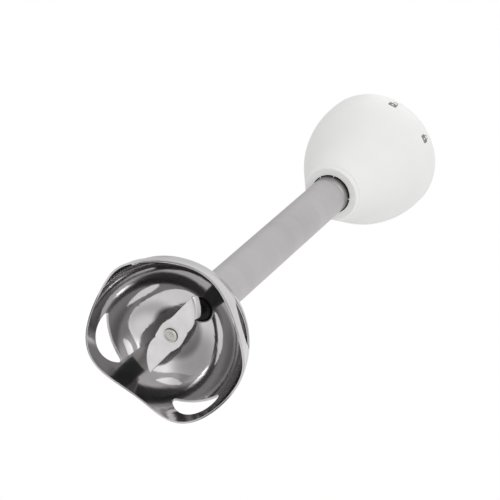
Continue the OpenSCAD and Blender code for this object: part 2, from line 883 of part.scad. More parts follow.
bell();
shaft_tube();
coupling_housing();
bayonet_socket();
collar_gasket();
tube_clamp();
clamp_screws();
socket_screws();
upper_bearing_carrier();
upper_bush();
upper_washer();
upper_clip();
lower_bearing_carrier();
lower_bush();
lower_washer();
lower_clip();
carrier_o_rings();
seal_cup();
shaft_seal();
seal_spring();
drive_shaft();
drive_coupler();
coupler_pin();
shaft_spacer();
blade();
blade_hub();
blade_rivet();
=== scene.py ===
"""Looks of the blending foot: camera, studio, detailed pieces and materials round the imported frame.

Blender works in metres. The pieces are drawn in millimetres, and add_mesh brings them to metres.
"""

import json
from math import acos, asin, atan2, cos, degrees, hypot, pi, radians, sin, sqrt, tan

import bmesh
import bpy
import numpy as np
from mathutils import Matrix, Vector
from mathutils.geometry import delaunay_2d_cdt


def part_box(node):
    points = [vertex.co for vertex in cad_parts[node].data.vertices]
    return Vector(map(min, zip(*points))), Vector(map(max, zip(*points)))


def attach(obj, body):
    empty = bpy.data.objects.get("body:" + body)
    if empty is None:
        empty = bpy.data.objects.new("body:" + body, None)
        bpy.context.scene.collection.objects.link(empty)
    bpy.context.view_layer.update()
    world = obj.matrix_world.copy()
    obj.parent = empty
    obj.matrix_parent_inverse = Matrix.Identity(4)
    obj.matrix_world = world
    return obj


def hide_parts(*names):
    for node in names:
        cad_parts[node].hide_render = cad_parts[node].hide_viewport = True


MM = 0.001
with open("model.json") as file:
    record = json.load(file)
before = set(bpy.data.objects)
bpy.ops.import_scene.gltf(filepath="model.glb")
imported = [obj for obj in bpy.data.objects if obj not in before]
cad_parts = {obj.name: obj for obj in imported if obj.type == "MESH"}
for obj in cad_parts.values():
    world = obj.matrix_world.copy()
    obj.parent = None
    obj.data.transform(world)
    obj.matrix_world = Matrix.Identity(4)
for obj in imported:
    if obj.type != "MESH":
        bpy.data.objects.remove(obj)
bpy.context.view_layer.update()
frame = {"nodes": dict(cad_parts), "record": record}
nodes = frame["nodes"]
Z = Vector((0, 0, 1))


# ---- Camera and studio ----

FOCAL_MM = 178.4
SENSOR_MM = 36
VIEW_TILT = radians(33.32)  # how far the view leans from straight up
VIEW_AZIMUTH = radians(-29.4)
AXIS_SLOPE = radians(41.02)  # slope of the tube in the picture
COLLAR_FROM_CAMERA = Vector((35.93, 24.87, 1103.54)) * MM
AMBIENT = 0.76
FLOOR_R = 1.5
FLOOR_WHITE = (0.97, 0.97, 0.97, 1)
FLOOR_GLOW = 0.12

collar_centre = Vector((0, 0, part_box("coupling_housing")[0].z))
lamps = []


def view_axes():
    """Right, up and forward of the camera, which looks up at the bell's mouth."""
    side = Vector((cos(VIEW_AZIMUTH), sin(VIEW_AZIMUTH), 0))
    forward = cos(VIEW_TILT) * Z - sin(VIEW_TILT) * side
    along = sin(VIEW_TILT) * Z + cos(VIEW_TILT) * side
    across = Z.cross(side)
    right = cos(AXIS_SLOPE) * along + sin(AXIS_SLOPE) * across
    return right, right.cross(forward), forward


RIGHT, UP, FORWARD = view_axes()


def from_view(right, up, forward):
    """A place given in metres from the collar, along the axes of the photograph's view."""
    return collar_centre + right * RIGHT + up * UP + forward * FORWARD


def add_camera():
    data = bpy.data.cameras.new("camera")
    data.lens = FOCAL_MM
    data.sensor_width = SENSOR_MM
    data.clip_start = 0.01
    camera = bpy.data.objects.new("camera", data)
    bpy.context.scene.collection.objects.link(camera)
    right, up, forward = COLLAR_FROM_CAMERA
    place = from_view(-right, -up, -forward)
    axes = Matrix((RIGHT, UP, -FORWARD)).transposed().to_4x4()
    camera.matrix_world = Matrix.Translation(place) @ axes
    bpy.context.scene.camera = camera


def add_lamp(name, place, size, power):
    """A square soft light that points at the middle of the object."""
    data = bpy.data.lights.new(name, "AREA")
    data.size = size
    data.energy = power
    lamp = bpy.data.objects.new(name, data)
    bpy.context.scene.collection.objects.link(lamp)
    aim = collar_centre * 0.5 - place
    turn = aim.to_track_quat("-Z", "Y").to_matrix().to_4x4()
    lamp.matrix_world = Matrix.Translation(place) @ turn
    lamp.visible_camera = False
    lamps.append(lamp)


def keep_lamps_off(*pieces):
    """A mirror finish shows the world alone, and not the lamps' squares."""
    kept_off = bpy.data.collections.new("kept_off_lamps")
    for i, piece in enumerate(pieces):
        kept_off.objects.link(piece)
        kept_off.collection_objects[i].light_linking.link_state = "EXCLUDE"
    for lamp in lamps:
        lamp.light_linking.receiver_collection = kept_off


class Reflections:
    """What polished steel sees round it: white, dimmed or lit in soft round patches."""

    def __init__(self, tree):
        self.tree = tree
        self.direction = tree.nodes.new("ShaderNodeTexCoord").outputs["Generated"]
        self.brightness = None

    def patch(self, polar, azimuth, radius, factor, core=0.85):
        """Multiplies the light round a direction, in full within that share of the radius.

        The direction is given by its angle from straight down and its turn about the axis.
        """
        polar, azimuth = radians(polar), radians(azimuth)
        towards = self.tree.nodes.new("ShaderNodeVectorMath")
        towards.operation = "DOT_PRODUCT"
        towards.inputs[1].default_value = (
            sin(polar) * cos(azimuth), sin(polar) * sin(azimuth), -cos(polar))
        fade = self.tree.nodes.new("ShaderNodeMapRange")
        fade.interpolation_type = "SMOOTHSTEP"
        fade.inputs["From Min"].default_value = cos(radians(radius))
        fade.inputs["From Max"].default_value = cos(radians(core * radius))
        fade.inputs["To Min"].default_value = 1
        fade.inputs["To Max"].default_value = factor
        self.tree.links.new(self.direction, towards.inputs[0])
        self.tree.links.new(towards.outputs["Value"], fade.inputs["Value"])
        self.multiply(fade.outputs[0])

    def multiply(self, factor):
        if self.brightness is None:
            self.brightness = factor
            return
        both = self.tree.nodes.new("ShaderNodeMath")
        both.operation = "MULTIPLY"
        self.tree.links.new(self.brightness, both.inputs[0])
        self.tree.links.new(factor, both.inputs[1])
        self.brightness = both.outputs[0]


def reflected_studio(tree):
    """Brightness of the studio in each direction, as the polished steel reflects it."""
    studio = Reflections(tree)
    # A wide soft light in front of the bell's mouth, and the strobe in it.
    studio.patch(polar=54, azimuth=4, radius=34, factor=1.6, core=0.2)
    studio.patch(polar=41, azimuth=7, radius=5.5, factor=4.5)
    # Two black flags below the mouth, a grey one at the side and a grey one round the black.
    studio.patch(polar=20, azimuth=24, radius=26, factor=0.08, core=0.6)
    studio.patch(polar=33, azimuth=-8, radius=15, factor=0.2, core=0.5)
    studio.patch(polar=52, azimuth=-110, radius=42, factor=0.5, core=0.1)
    studio.patch(polar=45, azimuth=21, radius=37, factor=0.66, core=0.6)
    # The room is darker from the horizon up, and light again overhead.
    studio.patch(polar=180, azimuth=0, radius=84, factor=0.45, core=0.88)
    studio.patch(polar=180, azimuth=0, radius=66, factor=2.2, core=0.7)
    # A grey flag near straight down, a soft light at the horizon and a soft grey at the back.
    studio.patch(polar=18, azimuth=-58, radius=38, factor=0.45, core=0.7)
    studio.patch(polar=85, azimuth=-38, radius=45, factor=1.35, core=0.6)
    studio.patch(polar=140, azimuth=175, radius=42, factor=0.66, core=0.1)
    return studio.brightness


def add_world():
    """White to the camera, plain soft light for the rest, and the studio in reflections."""
    world = bpy.data.worlds.new("studio")
    bpy.context.scene.world = world
    world.use_nodes = True
    tree = world.node_tree
    tree.nodes.clear()
    path = tree.nodes.new("ShaderNodeLightPath")

    def background(strength):
        node = tree.nodes.new("ShaderNodeBackground")
        node.inputs["Color"].default_value = (1, 1, 1, 1)
        node.inputs["Strength"].default_value = strength
        return node

    def mixed(switch, first, second):
        mix = tree.nodes.new("ShaderNodeMixShader")
        tree.links.new(path.outputs[switch], mix.inputs[0])
        tree.links.new(first.outputs[0], mix.inputs[1])
        tree.links.new(second.outputs[0], mix.inputs[2])
        return mix

    white, reflected = background(1), background(1)
    tree.links.new(reflected_studio(tree), reflected.inputs["Strength"])
    look = mixed("Is Glossy Ray", background(AMBIENT), reflected)
    look = mixed("Is Transmission Ray", look, white)
    look = mixed("Is Camera Ray", look, white)
    out = tree.nodes.new("ShaderNodeOutputWorld")
    tree.links.new(look.outputs[0], out.inputs["Surface"])


def floor_material():
    """Pale from above and clear from below."""
    material = bpy.data.materials.new("floor")
    material.use_nodes = True
    tree = material.node_tree
    tree.nodes.clear()
    geometry = tree.nodes.new("ShaderNodeNewGeometry")
    diffuse = tree.nodes.new("ShaderNodeBsdfDiffuse")
    diffuse.inputs["Color"].default_value = FLOOR_WHITE
    glow = tree.nodes.new("ShaderNodeEmission")
    glow.inputs["Strength"].default_value = FLOOR_GLOW
    lit = tree.nodes.new("ShaderNodeAddShader")
    clear = tree.nodes.new("ShaderNodeBsdfTransparent")
    mix = tree.nodes.new("ShaderNodeMixShader")
    out = tree.nodes.new("ShaderNodeOutputMaterial")
    tree.links.new(geometry.outputs["Backfacing"], mix.inputs[0])
    tree.links.new(diffuse.outputs[0], lit.inputs[0])
    tree.links.new(glow.outputs[0], lit.inputs[1])
    tree.links.new(lit.outputs[0], mix.inputs[1])
    tree.links.new(clear.outputs[0], mix.inputs[2])
    tree.links.new(mix.outputs[0], out.inputs["Surface"])
    return material


def add_floor():
    """A pale floor that shows to the camera alone, with the object's shadow on it."""
    bpy.ops.mesh.primitive_circle_add(vertices=128, radius=FLOOR_R, fill_type="NGON")
    floor = bpy.context.object
    floor.name = "floor"
    floor.data.materials.append(floor_material())
    floor.visible_diffuse = False
    floor.visible_glossy = False
    floor.visible_transmission = False
    floor.visible_shadow = False


# ---- Materials ----

NOISE_LOW, NOISE_HIGH = 0.3, 0.7  # most of the noise lies between these


class Finish:
    """A procedural material: one principled shader fed by noise in the object's own space."""

    def __init__(self, name, metallic=0.0):
        self.material = bpy.data.materials.new(name)
        self.material.use_nodes = True
        self.tree = self.material.node_tree
        self.shader = self.tree.nodes["Principled BSDF"]
        self.shader.inputs["Metallic"].default_value = metallic
        self.space = self.tree.nodes.new("ShaderNodeTexCoord").outputs["Object"]
        self.normal = None

    def noise(self, scale, stretch=(1, 1, 1), detail=3.0):
        """Noise whose scale is in features per metre, times the stretch along each axis."""
        mapping = self.tree.nodes.new("ShaderNodeMapping")
        mapping.inputs["Scale"].default_value = stretch
        self.tree.links.new(self.space, mapping.inputs["Vector"])
        noise = self.tree.nodes.new("ShaderNodeTexNoise")
        noise.inputs["Scale"].default_value = scale
        noise.inputs["Detail"].default_value = detail
        self.tree.links.new(mapping.outputs[0], noise.inputs["Vector"])
        return noise.outputs["Fac"]

    def colour(self, dark, light, source):
        ramp = self.tree.nodes.new("ShaderNodeValToRGB")
        ramp.color_ramp.elements[0].position = NOISE_LOW
        ramp.color_ramp.elements[1].position = NOISE_HIGH
        ramp.color_ramp.elements[0].color = (*dark, 1)
        ramp.color_ramp.elements[1].color = (*light, 1)
        self.tree.links.new(source, ramp.inputs[0])
        self.tree.links.new(ramp.outputs["Color"], self.shader.inputs["Base Color"])

    def roughness(self, low, high, source):
        spread = self.tree.nodes.new("ShaderNodeMapRange")
        spread.inputs["From Min"].default_value = NOISE_LOW
        spread.inputs["From Max"].default_value = NOISE_HIGH
        spread.inputs["To Min"].default_value = low
        spread.inputs["To Max"].default_value = high
        self.tree.links.new(source, spread.inputs["Value"])
        self.tree.links.new(spread.outputs[0], self.shader.inputs["Roughness"])

    def bump(self, depth, source):
        """A bump of that depth in millimetres, laid over the bumps before it."""
        bump = self.tree.nodes.new("ShaderNodeBump")
        bump.inputs["Strength"].default_value = 1
        bump.inputs["Distance"].default_value = depth * MM
        self.tree.links.new(source, bump.inputs["Height"])
        if self.normal:
            self.tree.links.new(self.normal, bump.inputs["Normal"])
        self.normal = bump.outputs[0]
        self.tree.links.new(self.normal, self.shader.inputs["Normal"])


def linear(*rgb):
    """A linear colour from 0 to 255 values as they show on a screen."""
    return tuple((c / 255 / 12.92) if c <= 10 else ((c / 255 + 0.055) / 1.055) ** 2.4 for c in rgb)


def polished_steel():
    """Mirror-polished sheet, with the waves of pressing and the rings of polishing."""
    f = Finish("polished_steel", metallic=0.97)
    f.colour((0.55, 0.535, 0.54), (0.60, 0.585, 0.59), f.noise(90))
    f.roughness(0.04, 0.08, f.noise(260))
    f.bump(0.09, f.noise(48, detail=1.5))
    f.bump(0.01, f.noise(1, stretch=(30, 30, 700), detail=2))
    return f.material


def satin_steel():
    """Tube brushed in rings round its axis."""
    f = Finish("satin_steel", metallic=1)
    brushed = f.noise(1, stretch=(60, 60, 5200), detail=2)
    f.colour((0.49, 0.475, 0.485), (0.545, 0.53, 0.54), f.noise(1, stretch=(25, 25, 60)))
    f.roughness(0.34, 0.48, brushed)
    f.bump(0.008, brushed)
    return f.material


def painted_collar_shade():
    """Painted shade: the tube darkened just below the collar, where the collar's shadow falls."""
    f = Finish("painted_collar_shade", metallic=1)
    f.colour((0.30, 0.295, 0.29), (0.36, 0.355, 0.35), f.noise(1, stretch=(120, 120, 900)))
    f.roughness(0.36, 0.5, f.noise(1, stretch=(60, 60, 5200), detail=2))
    return f.material


def blade_steel():
    """Sheet ground along X."""
    f = Finish("blade_steel", metallic=1)
    ground = f.noise(1, stretch=(3200, 420, 420), detail=2)
    f.colour((0.67, 0.655, 0.655), (0.76, 0.745, 0.745), f.noise(160))
    f.roughness(0.36, 0.48, ground)
    f.bump(0.008, ground)
    return f.material


def turned_steel(name, rgb, rough):
    f = Finish(name, metallic=1)
    tone = linear(*rgb)
    f.colour(tuple(0.88 * c for c in tone), tone, f.noise(200))
    f.roughness(rough - 0.06, rough + 0.08, f.noise(1500))
    f.bump(0.008, f.noise(2400, detail=2))
    return f.material


def sintered_bronze():
    f = Finish("sintered_bronze", metallic=1)
    f.colour((0.32, 0.19, 0.09), (0.50, 0.32, 0.17), f.noise(3000))
    f.roughness(0.4, 0.6, f.noise(2500))
    f.bump(0.03, f.noise(4000))
    return f.material


def white_plastic():
    f = Finish("white_plastic")
    f.colour((0.86, 0.86, 0.85), (0.90, 0.90, 0.89), f.noise(40))
    f.roughness(0.36, 0.46, f.noise(600))
    f.bump(0.01, f.noise(2600, detail=2))
    return f.material


def moulded_plastic(name, rgb, rough=0.45):
    f = Finish(name)
    tone = linear(*rgb)
    f.colour(tuple(0.92 * c for c in tone), tone, f.noise(120))
    f.roughness(rough - 0.05, rough + 0.08, f.noise(900))
    f.bump(0.01, f.noise(3000, detail=2))
    return f.material


def black_rubber():
    f = Finish("black_rubber")
    f.colour((0.004, 0.0035, 0.0038), (0.008, 0.0075, 0.0078), f.noise(300))
    f.roughness(0.32, 0.5, f.noise(900))
    f.bump(0.03, f.noise(1500, detail=2))
    return f.material


FINISHES = {
    "polished_steel": polished_steel(),
    "satin_steel": satin_steel(),
    "white_plastic": white_plastic(),
    "grey_plastic": moulded_plastic("grey_plastic", (205, 206, 207)),
    "dark_plastic": moulded_plastic("dark_plastic", (62, 62, 65), 0.5),
    "natural_plastic": moulded_plastic("natural_plastic", (236, 232, 218)),
    "black_plastic": moulded_plastic("black_plastic", (46, 44, 45), 0.35),
    "black_rubber": black_rubber(),
    "sintered_bronze": sintered_bronze(),
    "plain_steel": turned_steel("plain_steel", (186, 185, 184), 0.32),
    "spring_steel": turned_steel("spring_steel", (120, 120, 122), 0.4),
    "zinc_steel": turned_steel("zinc_steel", (196, 199, 202), 0.35),
    "blade_steel": blade_steel(),
    "rivet_steel": turned_steel("rivet_steel", (206, 203, 198), 0.45),
}
# A near-white tone for the hub: painted light that brightens its reflection in the bell.
LIGHT_PAINTED_HUB_STEEL = turned_steel("hub_steel", (236, 234, 232), 0.62)
PRINTED_GREY = moulded_plastic("printed_grey", (128, 128, 128))


def refinish(piece, material):
    for place in piece.material_slots:
        place.material = material


def finish_cad_nodes():
    """Every carried-over node gets the finish of its slot in the record. The hub gets a near-white
    rough steel, its tone raised as painted light to brighten its reflection in the bell.
    """
    for part in frame["record"]["subparts"]:
        refinish(nodes[part["node"]], FINISHES[part["material_slot"]])
    refinish(nodes["blade_hub"], LIGHT_PAINTED_HUB_STEEL)


# ---- Mesh tools ----

MERGE_M = 1e-7
SHARP_TURN = radians(20)
CORNER_SHARE = 0.45  # the most of a side that a rounded corner takes up


def add_mesh(name, vertices, faces, slot, body):
    """A smooth-shaded piece, in millimetres, that rides on a body with the finish of a slot."""
    mesh = bpy.data.meshes.new(name)
    mesh.from_pydata([tuple(MM * c for c in v) for v in vertices], [], faces)
    mesh.validate()
    work = bmesh.new()
    work.from_mesh(mesh)
    bmesh.ops.remove_doubles(work, verts=work.verts, dist=MERGE_M)
    bmesh.ops.recalc_face_normals(work, faces=work.faces)
    work.to_mesh(mesh)
    work.free()
    mesh.polygons.foreach_set("use_smooth", [True] * len(mesh.polygons))
    piece = bpy.data.objects.new(name, mesh)
    bpy.context.scene.collection.objects.link(piece)
    piece.data.materials.append(FINISHES[slot])
    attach(piece, body)
    return piece


def sharpen(piece, angle):
    """Keeps edges sharper than that many degrees crisp under smooth shading."""
    work = bmesh.new()
    work.from_mesh(piece.data)
    for edge in work.edges:
        edge.smooth = len(edge.link_faces) == 2 and edge.calc_face_angle(0) < radians(angle)
    work.to_mesh(piece.data)
    work.free()


def lathe(name, line, slot, body, steps):
    """A closed half section turned round the axis. The line's points are (radius, height)."""
    vertices, faces = [], []
    count = len(line)
    for i in range(steps):
        a = 2 * pi * i / steps
        vertices += [(r * cos(a), r * sin(a), z) for r, z in line]
        this, following = i * count, (i + 1) % steps * count
        for j in range(count):
            k = (j + 1) % count
            faces.append((this + j, following + j, following + k, this + k))
    return add_mesh(name, vertices, faces, slot, body)


def arc(centre, radius, start, end, steps):
    """Points on an arc, with its angles in degrees."""
    angles = [radians(start + (end - start) * i / steps) for i in range(steps + 1)]
    return [(centre[0] + radius * cos(a), centre[1] + radius * sin(a)) for a in angles]


def turned(points, a):
    """The same points turned about the axis."""
    return [(x * cos(a) - y * sin(a), x * sin(a) + y * cos(a)) for x, y in points]


def softened(line, radius, steps):
    """The same closed outline with its sharp corners rounded."""
    points = [Vector(p) for p in line]
    out = []
    for i, corner in enumerate(points):
        before, after = points[i - 1] - corner, points[(i + 1) % len(points)] - corner
        if pi - before.angle(after, pi) < SHARP_TURN:
            out.append(tuple(corner))
            continue
        reach = min(radius, CORNER_SHARE * before.length, CORNER_SHARE * after.length)
        start, end = corner + before.normalized() * reach, corner + after.normalized() * reach
        for k in range(steps + 1):
            t = k / steps
            bend = (1 - t) ** 2 * start + 2 * t * (1 - t) * corner + t * t * end
            out.append(tuple(bend))
    return out


# ---- Bell ----

RIM_R = 34.5
RIM_WAVE = 6.5
FLARE = radians(10)
WALL_H = 6.2
DOME_R = 36.3
SHEET = 0.8
EDGE = 0.25  # how far the rounding stands out from the sheet's cut edge
NECK_IN_R = 8.52
NECK_FILLET = 2.5
EYE_R = 4.25
LOBES = 4
WINDOW_Z = 5.6
WINDOW_H = 7.7
WINDOW_W = 22
WINDOW_CORNER = 0.9
BELL_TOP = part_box("bell")[1].z / MM

# Points along each stretch of the grid.
WINDOW_POINTS = 26
CORNER_POINTS = 8
WINDOW_TOP_POINTS = 12
RIB_POINTS = 18
WALL_POINTS = 11
DOME_POINTS = 30
FILLET_POINTS = 9
CEILING_POINTS = 4
EDGE_STEPS = 5
DOME_CROWDING = 1.2  # above 1 the dome's points crowd towards the wall

neck_r = NECK_IN_R + SHEET
wall_r = RIM_R - WALL_H * tan(FLARE)
dome_c = (wall_r - DOME_R * cos(FLARE), WALL_H - DOME_R * sin(FLARE))
neck_a = acos((neck_r + NECK_FILLET - dome_c[0]) / (DOME_R + NECK_FILLET))
neck_c = (neck_r + NECK_FILLET, dome_c[1] + (DOME_R + NECK_FILLET) * sin(neck_a))


def dome_a(r, inset=0):
    """Direction from the dome's centre to where the sheet is r from the axis."""
    return acos((r - dome_c[0]) / (DOME_R - inset))


def on_dome(a):
    """A point of the dome's outside and the direction square to it."""
    return (dome_c[0] + DOME_R * cos(a), dome_c[1] + DOME_R * sin(a)), a


def on_wall(z):
    """The same for a height below the top of the windows."""
    if z < WALL_H:
        return (RIM_R - z * tan(FLARE), z), FLARE
    return on_dome(asin((z - dome_c[1]) / DOME_R))


def window_curves(grow):
    """Lower and upper edges of a window in side view, from its middle to its end."""
    big = (WINDOW_W ** 2 / 4 + WINDOW_H ** 2) / (2 * WINDOW_H)
    middle = WINDOW_Z + big
    top = WINDOW_Z + WINDOW_H + grow
    big += grow
    corner = WINDOW_CORNER + grow
    reach = sqrt((big - corner) ** 2 - (middle - top + corner) ** 2)
    small = (reach, top - corner)
    meet = -degrees(atan2(middle - small[1], reach))
    lower = arc((0, middle), big, -90, meet, WINDOW_POINTS)
    lower += arc(small, corner, meet, 0, CORNER_POINTS)[1:]
    upper = [(reach * t, top) for t in np.linspace(0, 1, WINDOW_TOP_POINTS)[:-1]]
    upper += arc(small, corner, 90, 0, CORNER_POINTS)
    return lower, upper


def bell_columns():
    """Azimuth, rim height, and lower and upper edge of the opening, for each column of the grid."""
    lower, upper = window_curves(EDGE)
    turn = [asin(y / on_wall(z)[0][0]) for y, z in lower]
    top_turn = [asin(y / on_wall(z)[0][0]) for y, z in upper]
    top_z = [z for _, z in upper]
    half = [(a, z, float(np.interp(a, top_turn, top_z))) for a, (_, z) in zip(turn, lower)]
    end, meet_z = turn[-1], lower[-1][1]
    half[-1] = (end, meet_z, meet_z)
    half += [(a, meet_z, meet_z) for a in np.linspace(end, pi / LOBES, RIB_POINTS)[1:]]
    lobe = [(-a, low, high) for a, low, high in reversed(half[1:])] + half[:-1]
    columns = []
    for i in range(LOBES):
        for a, low, high in lobe:
            rim = RIM_WAVE * (1 - cos(LOBES * a)) / 2 + EDGE
            columns.append((a + i * 2 * pi / LOBES, rim, low, high))
    return columns


def bell_runs(rim, low, high):
    """One column as three runs: below the opening, and above it outside and inside."""
    ease = [(1 - cos(pi * t)) / 2 for t in np.linspace(0, 1, WALL_POINTS)]
    below = [on_wall(rim + (low - rim) * t) for t in ease]
    start = asin((high - dome_c[1]) / DOME_R)

    def dome_to(end):
        shares = [t ** DOME_CROWDING for t in np.linspace(0, 1, DOME_POINTS)]
        return [on_dome(start + (end - start) * share) for share in shares]

    outside = dome_to(neck_a)
    for a in np.linspace(pi + neck_a, pi, FILLET_POINTS)[1:]:
        point = (neck_c[0] + NECK_FILLET * cos(a), neck_c[1] + NECK_FILLET * sin(a))
        outside.append((point, a - pi))
    top = [(neck_r, BELL_TOP - EDGE), (neck_r - EDGE, BELL_TOP), (NECK_IN_R, BELL_TOP)]
    outside += [(point, 0.0) for point in top]
    eye_r = EYE_R + EDGE
    ceiling = np.linspace(dome_a(NECK_IN_R), dome_a(eye_r), CEILING_POINTS)
    outside += [on_dome(a) for a in ceiling]
    return below, outside, dome_to(dome_a(eye_r, SHEET))


class SheetMetal:
    """A shell drawn as rows of points, with its cut edges rounded."""

    def __init__(self):
        self.vertices, self.faces = [], []

    def place(self, point, a):
        """Adds a (radius, height) point at an azimuth, and returns its number."""
        self.vertices.append((point[0] * cos(a), point[0] * sin(a), point[1]))
        return len(self.vertices) - 1

    def place_run(self, run, a, inset):
        """Adds a run of points, moved in square to the sheet."""
        return [self.place((p[0] - inset * cos(normal), p[1] - inset * sin(normal)), a)
                for p, normal in run]

    def quads(self, rows):
        """Joins each row to the next, and the last one to the first."""
        for i in range(len(rows)):
            a, b = rows[i], rows[(i + 1) % len(rows)]
            for j in range(min(len(a), len(b)) - 1):
                self.faces.append((a[j], b[j], b[j + 1], a[j + 1]))

    def round_edge(self, outer, inner, sign):
        """Rounds the edge along a closed loop of outer and inner points."""
        rings = []
        for i in range(len(outer)):
            ahead = Vector(self.vertices[outer[(i + 1) % len(outer)]])
            ahead -= Vector(self.vertices[outer[i - 1]])
            start, end = Vector(self.vertices[outer[i]]), Vector(self.vertices[inner[i]])
            away = sign * ahead.cross(start - end).normalized()
            ring = [outer[i]]
            for k in range(1, EDGE_STEPS):
                t = pi * k / EDGE_STEPS
                point = start + (end - start) * (1 - cos(t)) / 2 + away * EDGE * sin(t)
                ring.append(len(self.vertices))
                self.vertices.append(tuple(point))
            rings.append(ring + [inner[i]])
        self.quads(rings)


# The runs of one column of the bell.
WALL_OUT, DOME_OUT, WALL_IN, DOME_IN = range(4)


def bell_grid(sheet):
    """The bell's columns, each as its four runs. Beside a window the wall meets the dome."""
    grid = []
    for a, rim, low, high in bell_columns():
        below, outside, inside = bell_runs(rim, low, high)
        column = [sheet.place_run(below, a, 0), sheet.place_run(outside, a, 0),
                  sheet.place_run(below, a, SHEET), sheet.place_run(inside, a, SHEET)]
        if low == high:
            column[DOME_OUT][0] = column[WALL_OUT][-1]
            column[DOME_IN][0] = column[WALL_IN][-1]
        grid.append(column)
    return grid


def window_loop(lobe):
    """Outer and inner points round the window of a lobe's columns."""
    is_open = [i for i, c in enumerate(lobe) if c[DOME_OUT][0] != c[WALL_OUT][-1]]
    span = lobe[is_open[0] - 1:is_open[-1] + 2]
    back = span[-2:0:-1]
    outer = [c[WALL_OUT][-1] for c in span] + [c[DOME_OUT][0] for c in back]
    inner = [c[WALL_IN][-1] for c in span] + [c[DOME_IN][0] for c in back]
    return outer, inner


def build_bell():
    """The lobed bell with its windows, as one closed shell."""
    sheet = SheetMetal()
    grid = bell_grid(sheet)
    for run in (WALL_OUT, DOME_OUT, WALL_IN, DOME_IN):
        sheet.quads([column[run] for column in grid])
    sheet.round_edge([c[WALL_OUT][0] for c in grid], [c[WALL_IN][0] for c in grid], -1)
    sheet.round_edge([c[DOME_OUT][-1] for c in grid], [c[DOME_IN][-1] for c in grid], 1)
    count = len(grid) // LOBES
    for i in range(LOBES):
        sheet.round_edge(*window_loop(grid[i * count:(i + 1) * count]), 1)
    bell = add_mesh("bell_shell", sheet.vertices, sheet.faces, "polished_steel", "foot")
    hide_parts("bell")
    keep_lamps_off(bell, nodes["shaft_tube"])


# ---- Blade ----

BLADE_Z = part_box("blade")[0].z / MM
BLADE_T = 1.4
BLADE_REACH = 20.6
BLADE_TURN = radians(136.6)
BLADE_EDGE = 0.18
BLADE_CORNER_R = 1.4
BLADE_CORNER_STEPS = 5
BLADE_CELL = 0.5
BLADE_CELLS = range(-46, 47)
BLADE_CRISP = 25  # degrees
HUB_FRONT = [(0, -5.5), (2.4, -5.25), (4.5, -4.55), (6.7, -3.5)]
WING_WAIST = [(5.9, 5.2), (5.35, 4.75), (4.9, 5.3)]
WING_END_R = 15
WING_END_STEPS = 26
WING_TIP_Y = -1
WING_TIP_A = 34.5

LIP_H = 1.3
LIP_ANGLE = radians(60)
LIP_END_A = 72
LIP_EASE_A = 5  # the lip grows to its full height over this angle
LIP_SHEET = LIP_H / sin(LIP_ANGLE) + 0.95  # flat length that the bend and the lip take up
BEND_R = 1.5
BEND_AT = WING_END_R - 0.8
BEND_EASE_A = 6

wing_c = (BLADE_REACH - WING_END_R * cos(radians(WING_TIP_A)),
          WING_TIP_Y - WING_END_R * sin(radians(WING_TIP_A)))


def clamped(share):
    return min(1, max(0, share))


def wing(lipped):
    """Outline of one wing along +X, from the hub's front round to the waist, lying flat."""
    end = arc(wing_c, WING_END_R, WING_TIP_A, 90, WING_END_STEPS)
    if lipped:
        for i, (x, y) in enumerate(end):
            a = degrees(atan2(y - wing_c[1], x - wing_c[0]))
            share = clamped(min(a - WING_TIP_A, LIP_END_A - a) / LIP_EASE_A)
            grown = WING_END_R + LIP_SHEET * sqrt(1 - (1 - share) ** 2)
            end[i] = arc(wing_c, grown, a, a, 1)[0]
    return HUB_FRONT + end + WING_WAIST


def blade_plan():
    """The flat blade as points and triangles, on a grid fine enough to bend."""
    outline = wing(lipped=False) + turned(wing(lipped=True), pi)
    border = [Vector(p) for p in softened(outline, BLADE_CORNER_R, BLADE_CORNER_STEPS)]
    edges = [(i, (i + 1) % len(border)) for i in range(len(border))]
    fill = [Vector((x * BLADE_CELL, y * BLADE_CELL)) for x in BLADE_CELLS for y in BLADE_CELLS]
    points, _, triangles, *_ = delaunay_2d_cdt(border + fill, edges, [], 1, 1e-5)
    return points, triangles


def free_edges(triangles):
    """The edges that only one triangle has, in its direction."""
    free = {}
    for triangle in triangles:
        for i in range(3):
            start, end = triangle[i], triangle[(i + 1) % 3]
            if (end, start) in free:
                del free[end, start]
            else:
                free[start, end] = True
    return list(free)


def outward(points, edges):
    """The direction away from the blade at each point of its edges."""
    away = {}
    for a, b in edges:
        along = points[b] - points[a]
        out = Vector((along.y, -along.x)).normalized()
        for i in (a, b):
            away[i] = away.get(i, Vector((0, 0))) + out
    return {i: total.normalized() for i, total in away.items()}


def lip_bent(x, y, height):
    """Lifts what lies past the bend line of the lipped wing, which runs along -X here."""
    px, py = -x - wing_c[0], -y - wing_c[1]
    a = degrees(atan2(py, px))
    past = hypot(px, py) - BEND_AT
    if x > 0 or past <= 0 or a < WING_TIP_A - 1:
        return x, y, height
    ease = clamped((LIP_END_A + BEND_EASE_A - a) / BEND_EASE_A) * clamped((a - WING_TIP_A + 1) / 2)
    angle = min(past / BEND_R, LIP_ANGLE * ease)
    straight = past - BEND_R * angle
    flat = BEND_AT + BEND_R * sin(angle) + straight * cos(angle) - height * sin(angle)
    lift = BEND_R * (1 - cos(angle)) + straight * sin(angle) + height * cos(angle)
    return -(wing_c[0] + flat * cos(radians(a))), -(wing_c[1] + flat * sin(radians(a))), lift


